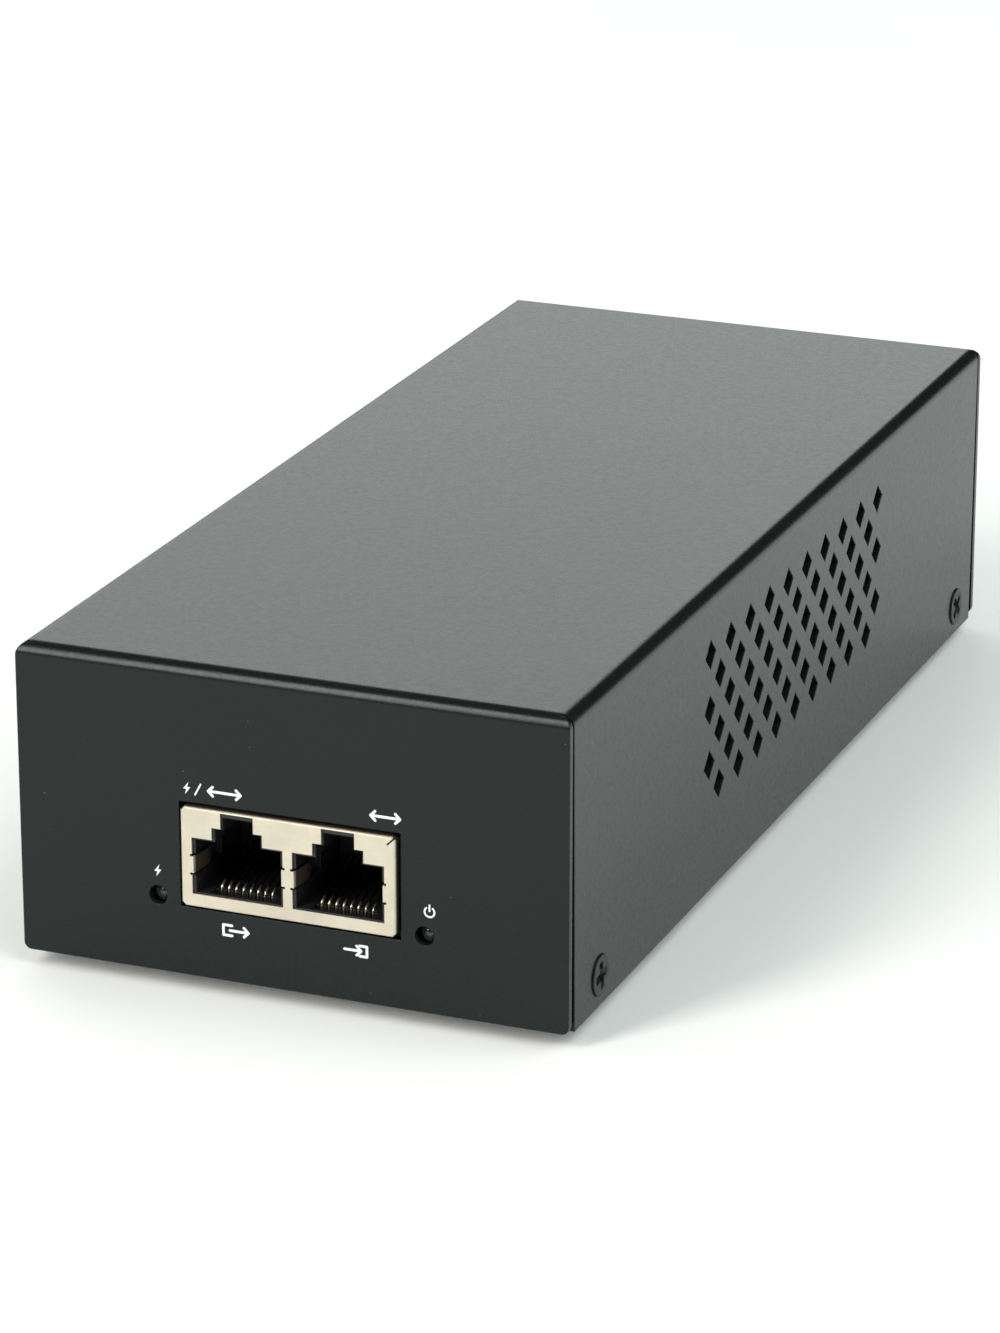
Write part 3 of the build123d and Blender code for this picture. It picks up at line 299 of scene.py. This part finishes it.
def black_screw(name, colour):
    """Black oxide with bright wear on the high spots of the forging."""
    g = Graph(name)
    grain = g.noise(0.00030, detail=3.0, rough=0.6)
    wear = g.span(g.noise(0.0009, detail=3.0, rough=0.65), 0.60, 0.72)
    g.set(Base_Color=g.mix(g.math("MULTIPLY", wear, 0.35), colour, (0.30, 0.30, 0.29)))
    g.set(Metallic=0.65, Roughness=g.span(grain, 0.3, 0.7, 0.34, 0.50))
    g.set(Normal=g.bump(grain, depth=0.000012, normal=g.rounded_edges(0.15 * MM), strength=0.6))
    return g.material


def rubber(name, colour):
    """Matt rubber with a pebbled skin and a little dust."""
    g = Graph(name)
    pebble = g.cells(0.00055)
    dust = g.span(g.noise(0.004, detail=4.0, rough=0.6), 0.52, 0.75)
    g.set(Base_Color=g.mix(g.math("MULTIPLY", dust, 0.4), colour, (0.10, 0.10, 0.095)))
    g.set(Roughness=g.span(pebble, 0.0, 0.6, 0.72, 0.88))
    g.set(Normal=g.bump(pebble, depth=0.000035, normal=g.rounded_edges(0.2 * MM), strength=0.5))
    return g.material


def clear_epoxy(name, colour):
    """Clear cast lamp body with slight flow lines."""
    g = Graph(name)
    flow = g.noise(0.0012, detail=1.0, rough=0.4, place=g.stretched((1.0, 0.3, 1.0)))
    g.set(Base_Color=g.mix(g.span(flow, 0.3, 0.7), shade(colour, 0.94), colour))
    g.set(Roughness=g.span(flow, 0.3, 0.7, 0.06, 0.12))
    g.set(IOR=1.54, Transmission_Weight=0.45)
    return g.material


def fuse_glass(name, colour):
    """Drawn glass tube with faint lines along Y."""
    g = Graph(name)
    draw = g.noise(0.0009, detail=1.0, rough=0.4, place=g.stretched((0.1, 1.0, 1.0)))
    g.set(Base_Color=g.mix(g.span(draw, 0.3, 0.7), shade(colour, 0.97), colour))
    g.set(Roughness=g.span(draw, 0.3, 0.7, 0.02, 0.06))
    g.set(IOR=1.5, Transmission_Weight=0.95)
    return g.material


def dipped_epoxy(name, colour):
    """Thick glossy dip with long soft sags."""
    g = Graph(name)
    sag = g.noise(0.003, detail=2.0, rough=0.45)
    g.set(Base_Color=g.mix(g.span(sag, 0.3, 0.7), shade(colour, 0.85), shade(colour, 1.1)))
    g.set(Roughness=g.span(sag, 0.3, 0.7, 0.18, 0.30), Coat_Weight=0.3, Coat_Roughness=0.1)
    g.set(Normal=g.bump(sag, depth=0.00020, strength=0.4))
    return g.material


def ferrite(name, colour):
    """Sintered ferrite: dull grey-black with pits and chipped edges."""
    g = Graph(name)
    pits = g.span(g.cells(0.0011), 0.10, 0.20)
    cloud = g.noise(0.003, detail=4.0, rough=0.6)
    g.set(Base_Color=g.mix(g.span(cloud, 0.3, 0.7), shade(colour, 0.75), shade(colour, 1.2)))
    g.set(Roughness=g.span(cloud, 0.3, 0.7, 0.55, 0.75))
    g.set(Normal=g.bump(pits, depth=0.00004, normal=g.rounded_edges(0.3 * MM), strength=0.4))
    return g.material


def wound_wire(name, colour, direction):
    """Close turns of enamelled wire."""
    g = Graph(name)
    turns = g.bands(0.0008, direction, 0.4)
    g.set(Base_Color=g.mix(turns, shade(colour, 0.45), colour), Metallic=0.8)
    g.set(Roughness=g.span(turns, 0.0, 1.0, 0.50, 0.25), Coat_Weight=0.5, Coat_Roughness=0.12)
    g.set(Normal=g.bump(turns, depth=0.00025, strength=0.8))
    return g.material


def winding_tape(name, colour):
    """Polyester tape with wrinkles and the edges of its layers."""
    g = Graph(name)
    layer = g.bands(0.0045, "Z", 0.3)
    wrinkle = g.noise(0.0016, detail=3.0, rough=0.6, place=g.stretched((0.35, 0.35, 1.0)))
    g.set(Base_Color=g.mix(layer, shade(colour, 0.8), colour))
    g.set(Roughness=g.span(wrinkle, 0.3, 0.7, 0.26, 0.42))
    g.set(Normal=g.bump(
        g.math("ADD", wrinkle, g.math("MULTIPLY", layer, 0.5)), depth=0.00012, strength=0.5,
    ))
    return g.material


def extruded_aluminium(name, colour):
    """Extrusion lines that run up the sink."""
    g = Graph(name)
    lines = g.noise(0.00018, detail=2.0, rough=0.5, place=g.stretched((1.0, 1.0, 0.02)))
    g.set(Base_Color=g.mix(g.span(lines, 0.3, 0.7), shade(colour, 0.88), colour), Metallic=1.0)
    g.set(Roughness=g.span(lines, 0.3, 0.7, 0.30, 0.48))
    g.set(Normal=g.bump(lines, depth=0.00001, normal=g.rounded_edges(0.15 * MM), strength=0.6))
    return g.material


def can_sleeve(name, colour):
    """Shrink sleeve on a capacitor can, shiny, with shrink ripples near its ends."""
    g = Graph(name)
    ripple = g.noise(0.0022, detail=2.0, rough=0.5, place=g.stretched((1.0, 1.0, 0.25)))
    g.set(Base_Color=g.mix(g.span(ripple, 0.3, 0.7), colour, shade(colour, 1.5)))
    g.set(Roughness=g.span(ripple, 0.3, 0.7, 0.22, 0.34), Coat_Weight=0.4, Coat_Roughness=0.1)
    g.set(Normal=g.bump(ripple, depth=0.00010, normal=g.rounded_edges(0.3 * MM), strength=0.35))
    return g.material


def circuit_board(name, colour):
    """Solder mask over etched copper: raised tracks and bare laminate gaps."""
    g = Graph(name)
    tracks = g.span(g.cells(0.0052, "DISTANCE_TO_EDGE"), 0.05, 0.10)
    weave = g.noise(0.0004, detail=1.0)
    g.set(Base_Color=g.mix(tracks, shade(colour, 0.6), shade(colour, 1.25)))
    g.set(Roughness=g.span(weave, 0.3, 0.7, 0.28, 0.40))
    g.set(Normal=g.bump(
        g.math("ADD", tracks, g.math("MULTIPLY", weave, 0.2)), depth=0.00004, strength=0.6,
    ))
    return g.material


def wire_cover(name, colour):
    """Soft PVC insulation with the slight waviness of its extrusion."""
    g = Graph(name)
    wave = g.noise(0.0014, detail=2.0, rough=0.5)
    g.set(Base_Color=g.mix(g.span(wave, 0.3, 0.7), shade(colour, 0.85), shade(colour, 1.1)))
    g.set(Roughness=g.span(wave, 0.3, 0.7, 0.34, 0.46))
    g.set(Normal=g.bump(wave, depth=0.00005, strength=0.4))
    return g.material


def striped_wire_cover(name, colour, stripe):
    """Two-colour insulation."""
    g = Graph(name)
    band = g.span(g.bands(0.0034, "DIAGONAL"), 0.45, 0.55)
    wave = g.noise(0.0014, detail=2.0, rough=0.5)
    g.set(Base_Color=g.mix(band, colour, stripe), Roughness=g.span(wave, 0.3, 0.7, 0.34, 0.46))
    g.set(Normal=g.bump(wave, depth=0.00005, strength=0.4))
    return g.material


def print_ink(name):
    """White screen-printed ink: slightly uneven film with tiny pinholes."""
    g = Graph(name)
    hole = g.span(g.noise(0.00016, detail=2.0, rough=0.6), 0.28, 0.38)
    g.set(Base_Color=g.mix(hole, (0.42, 0.43, 0.43), (0.86, 0.87, 0.87)))
    g.set(Roughness=g.span(g.noise(0.0004), 0.3, 0.7, 0.42, 0.58))
    g.set(Normal=g.bump(hole, depth=0.000008, strength=0.5))
    return g.material


def pale_floor(name):
    """Plain matt floor with faint clouds."""
    g = Graph(name)
    cloud = g.span(g.noise(0.25, detail=3.0), 0.3, 0.7)
    g.set(Base_Color=g.mix(cloud, (0.87, 0.87, 0.87), (0.90, 0.90, 0.90)))
    g.set(Roughness=g.span(cloud, 0.0, 1.0, 0.88, 0.95), Specular_IOR_Level=0.2)
    return g.material


# ---------------------------------------------------------------- finishes of the CAD nodes
shield_face_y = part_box("jack_shield")[0].y
contact_face_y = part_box("out_contact_springs")[0].y


def painted_shade_behind(face_y, colour, start, full):
    """A value for satin_plate's last argument: painted shade that starts and is full at these mm
    behind the face.
    """
    return colour, face_y + start * MM, face_y + full * MM


# Darker plate behind each face stands in for the shadow inside the sockets
SHIELD_PAINTED_SHADE = painted_shade_behind(shield_face_y, (0.13, 0.10, 0.078), start=0.25, full=0.5)
CONTACT_PAINTED_SHADE = painted_shade_behind(contact_face_y, (0.06, 0.05, 0.03), start=0.6, full=1.3)
FINISHES = {
    "case_paint": powder_coat("case_paint", (0.0076, 0.0090, 0.0092)),
    "zinc_steel": zinc_plate("zinc_steel", (0.66, 0.67, 0.66)),
    "black_screw": black_screw("black_screw", (0.035, 0.038, 0.038)),
    "foot_rubber": rubber("foot_rubber", (0.022, 0.022, 0.022)),
    # The shield plate is painted darker behind its face: painted shade for the inside of the
    # sockets
    "shield_plate": satin_plate("shield_plate", (0.77, 0.71, 0.59), 0.58, 0.85, SHIELD_PAINTED_SHADE),
    "black_plastic": moulded("black_plastic", (0.014, 0.014, 0.015), 0.44),
    # The gold contacts are painted darker behind their bends: painted shade for the inside of the
    # sockets
    "gold_contact": satin_plate("gold_contact", (0.98, 0.92, 0.76), 0.36, 1.0, CONTACT_PAINTED_SHADE),
    "lamp_lens": clear_epoxy("lamp_lens", (0.060, 0.072, 0.070)),
    "tinned_metal": satin_plate("tinned_metal", (0.78, 0.78, 0.76), 0.34),
    "board_laminate": circuit_board("board_laminate", (0.02, 0.13, 0.06)),
    "film_sheet": moulded("film_sheet", (0.06, 0.06, 0.06), 0.35, 0.0006, 0.00001),
    "white_nylon": moulded("white_nylon", (0.80, 0.79, 0.74), 0.42),
    "fuse_glass": fuse_glass("fuse_glass", (0.92, 0.96, 0.95)),
    "blue_epoxy": dipped_epoxy("blue_epoxy", (0.04, 0.14, 0.42)),
    "yellow_case": moulded("yellow_case", (0.70, 0.55, 0.08), 0.34, 0.0003, 0.00001, 0.2),
    "green_epoxy": dipped_epoxy("green_epoxy", (0.06, 0.17, 0.09)),
    "ferrite": ferrite("ferrite", (0.045, 0.045, 0.047)),
    "copper_wire": wound_wire("copper_wire", (0.72, 0.26, 0.10), "Z"),
    "winding_tape": winding_tape("winding_tape", (0.80, 0.62, 0.10)),
    "sink_aluminium": extruded_aluminium("sink_aluminium", (0.80, 0.81, 0.82)),
    "can_sleeve": can_sleeve("can_sleeve", (0.020, 0.024, 0.045)),
    "brown_wire": wire_cover("brown_wire", (0.16, 0.07, 0.03)),
    "blue_wire": wire_cover("blue_wire", (0.03, 0.12, 0.42)),
    "earth_wire": striped_wire_cover("earth_wire", (0.10, 0.38, 0.06), (0.80, 0.66, 0.05)),
}
slot_of = {part["node"]: part["material_slot"] for part in frame["record"]["subparts"]}
for node, obj in frame["nodes"].items():
    finish = FINISHES[slot_of[node]]
    if not obj.material_slots:
        obj.data.materials.append(finish)
    for material_slot in obj.material_slots:
        material_slot.material = finish


# ---------------------------------------------------------------- printed symbols on the front
class Print:
    """Flat printed shapes in the plane of the front panel, drawn in mm across X and up Z."""

    def __init__(self, name, x, z):
        self.name = name
        self.x = x
        self.z = z
        self.mesh = bmesh.new()
        self.layer = 0

    def patch(self, points):
        """One closed flat shape, given about the symbol's own centre."""
        front = panel_y - (INK_THICKNESS + INK_LAYER * self.layer) * MM
        back = panel_y + INK_SUNK * MM
        self.layer += 1
        rings = []
        for y in (front, back):
            places = [((self.x + px) * MM, y, (self.z + pz) * MM) for px, pz in points]
            rings.append([self.mesh.verts.new(place) for place in places])
        self.mesh.faces.new(rings[0])
        self.mesh.faces.new(rings[1][::-1])
        for k in range(len(points)):
            n = (k + 1) % len(points)
            self.mesh.faces.new((rings[0][k], rings[1][k], rings[1][n], rings[0][n]))

    def stroke(self, a, b, width=STROKE):
        """Straight bar with round ends."""
        run = Vector(b) - Vector(a)
        turn = math.atan2(run.y, run.x)
        radius = width / 2
        outline = []
        for end, flip in ((b, 0.0), (a, math.pi)):
            for step in range(ROUND_STEPS + 1):
                angle = turn + flip + math.radians(step * 180 / ROUND_STEPS - 90)
                across = end[0] + radius * math.cos(angle)
                up = end[1] + radius * math.sin(angle)
                outline.append((across, up))
        self.patch(outline)

    def path(self, points, width=STROKE):
        for a, b in zip(points, points[1:]):
            self.stroke(a, b, width)

    def arrow(self, tail, tip):
        """Straight arrow along X."""
        back = math.copysign(ARROW_HEAD, tip - tail)
        self.stroke((tail, 0.0), (tip, 0.0))
        self.path([(tip - back, ARROW_HEAD), (tip, 0.0), (tip - back, -ARROW_HEAD)])

    def bolt(self, x):
        """Lightning bolt."""
        self.patch([(x + px, pz) for px, pz in BOLT_OUTLINE])

    def bracket(self, back, lip):
        """Square bracket with its back at one X and its two lips ending at the other."""
        half = BRACKET_HALF
        self.path([(lip, half), (back, half), (back, -half), (lip, -half)])

    def power(self):
        """Open ring with a bar through its gap."""
        angles = [math.radians(90 + turn) for turn in range(POWER_GAP, 361 - POWER_GAP, POWER_STEP)]
        radius = POWER_RADIUS
        ring = [(radius * math.cos(a), radius * math.sin(a) - POWER_DROP) for a in angles]
        self.path(ring, POWER_STROKE)
        self.stroke((0.0, 0.05), (0.0, 0.85), POWER_STROKE)

    def finish(self):
        bmesh.ops.recalc_face_normals(self.mesh, faces=self.mesh.faces)
        data = bpy.data.meshes.new(self.name)
        self.mesh.to_mesh(data)
        self.mesh.free()
        data.materials.append(ink)
        piece = bpy.data.objects.new(self.name, data)
        bpy.context.scene.collection.objects.link(piece)
        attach(piece, case_body)


def centre_of(node):
    low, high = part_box(node)
    return (low + high) / 2 / MM


case_body = frame["nodes"]["cover"]["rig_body"]
ink = print_ink("print_ink")
panel_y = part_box("cover")[0].y
jack_low, jack_high = (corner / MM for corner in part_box("jack_shield"))
out_x = centre_of("out_contact_springs").x
in_x = centre_of("in_contact_springs").x
jack_top = jack_high.z
jack_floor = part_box("main_board")[1].z / MM


def print_symbols():
    """Symbols for power, data link, and data out and in, where the real panel has words."""
    above = jack_top + SYMBOL_LIFT
    below = jack_floor - SYMBOL_DROP

    power_and_link = Print("symbol_power_and_link", jack_low.x + POWER_AND_LINK_INSET, above)
    power_and_link.bolt(-3.9)
    power_and_link.stroke((-2.75, -0.75), (-1.95, 0.75), SLASH_STROKE)
    power_and_link.arrow(tail=0.4, tip=-0.9)
    power_and_link.arrow(tail=0.4, tip=3.6)
    power_and_link.finish()

    link = Print("symbol_link", jack_high.x - LINK_INSET, above)
    link.arrow(tail=0.0, tip=-2.0)
    link.arrow(tail=0.0, tip=2.0)
    link.finish()

    lamp = centre_of("poe_lamp")
    power_out = Print("symbol_power_out", lamp.x, lamp.z + LAMP_SYMBOL_LIFT)
    power_out.bolt(0.0)
    power_out.finish()

    lamp = centre_of("power_lamp")
    power = Print("symbol_power", lamp.x + POWER_SHIFT, lamp.z + LAMP_SYMBOL_LIFT + POWER_RISE)
    power.power()
    power.finish()

    out = Print("symbol_out", out_x - OUT_SHIFT, below)
    out.bracket(back=-1.5, lip=-0.3)
    out.arrow(tail=-0.6, tip=2.0)
    out.finish()

    into = Print("symbol_in", in_x + IN_SHIFT, below)
    into.bracket(back=1.3, lip=0.3)
    into.arrow(tail=-1.8, tip=0.5)
    into.finish()


print_symbols()


# ---------------------------------------------------------------- floor, light and camera
def direction(azimuth, elevation):
    """Unit vector from the object, azimuth measured from +Y towards +X."""
    a, e = math.radians(azimuth), math.radians(elevation)
    return Vector((math.sin(a) * math.cos(e), math.cos(a) * math.cos(e), math.sin(e)))


def soft_box(name, azimuth, elevation, distance, width, height, radiance, tint=LAMP_TINT):
    """Rectangular lamp that faces the object. Its radiance is its brightness per area."""
    data = bpy.data.lights.new(name, "AREA")
    data.shape = "RECTANGLE"
    data.size = width
    data.size_y = height
    data.energy = radiance * math.pi * width * height
    data.color = tint
    lamp = bpy.data.objects.new(name, data)
    out = direction(azimuth, elevation)
    lamp.location = LAMP_AIM + out * distance
    lamp.rotation_mode = "QUATERNION"
    lamp.rotation_quaternion = out.to_track_quat("Z", "Y")
    bpy.context.scene.collection.objects.link(lamp)


def make_floor():
    bpy.ops.mesh.primitive_plane_add(size=FLOOR_SIZE, location=(0.0, 0.0, 0.0))
    floor = bpy.context.object
    floor.name = "floor"
    floor.data.materials.append(pale_floor("pale_floor"))


def make_world():
    """Pale studio to the eye and to soft fill, darker where it would mirror in the paint."""
    world = bpy.data.worlds.new("studio")
    bpy.context.scene.world = world
    world.use_nodes = True
    tree = world.node_tree
    tree.nodes.clear()
    output = tree.nodes.new("ShaderNodeOutputWorld")
    pale = tree.nodes.new("ShaderNodeBackground")
    pale.inputs["Color"].default_value = PALE_WORLD
    pale.inputs["Strength"].default_value = PALE_STRENGTH
    dark = tree.nodes.new("ShaderNodeBackground")
    dark.inputs["Color"].default_value = DARK_WORLD
    dark.inputs["Strength"].default_value = DARK_STRENGTH
    rays = tree.nodes.new("ShaderNodeLightPath")
    choose = tree.nodes.new("ShaderNodeMixShader")
    tree.links.new(rays.outputs["Is Glossy Ray"], choose.inputs["Fac"])
    tree.links.new(pale.outputs["Background"], choose.inputs[1])
    tree.links.new(dark.outputs["Background"], choose.inputs[2])
    tree.links.new(choose.outputs["Shader"], output.inputs["Surface"])


def make_camera():
    data = bpy.data.cameras.new("camera")
    data.lens = LENS
    data.sensor_width = SENSOR
    data.clip_start = CLIP_START
    data.clip_end = CLIP_END
    camera = bpy.data.objects.new("camera", data)
    back = -direction(-VIEW_AZIMUTH, -VIEW_ELEVATION)
    camera.location = AIM + back * VIEW_DISTANCE
    camera.rotation_mode = "QUATERNION"
    camera.rotation_quaternion = back.to_track_quat("Z", "Y")
    bpy.context.scene.collection.objects.link(camera)
    bpy.context.scene.camera = camera


make_floor()
make_world()
soft_box(
    "key", azimuth=-153.0, elevation=35.0, distance=1.5,
    width=0.34, height=0.98, radiance=13.5, tint=KEY_TINT,
)
soft_box(
    "back_card", azimuth=-36.0, elevation=22.0, distance=1.7,
    width=1.7, height=0.95, radiance=1.58,
)
soft_box(
    "right_fill", azimuth=98.0, elevation=50.0, distance=1.5,
    width=1.5, height=1.2, radiance=2.0,
)
make_camera()
bpy.context.scene.view_settings.view_transform = "Standard"
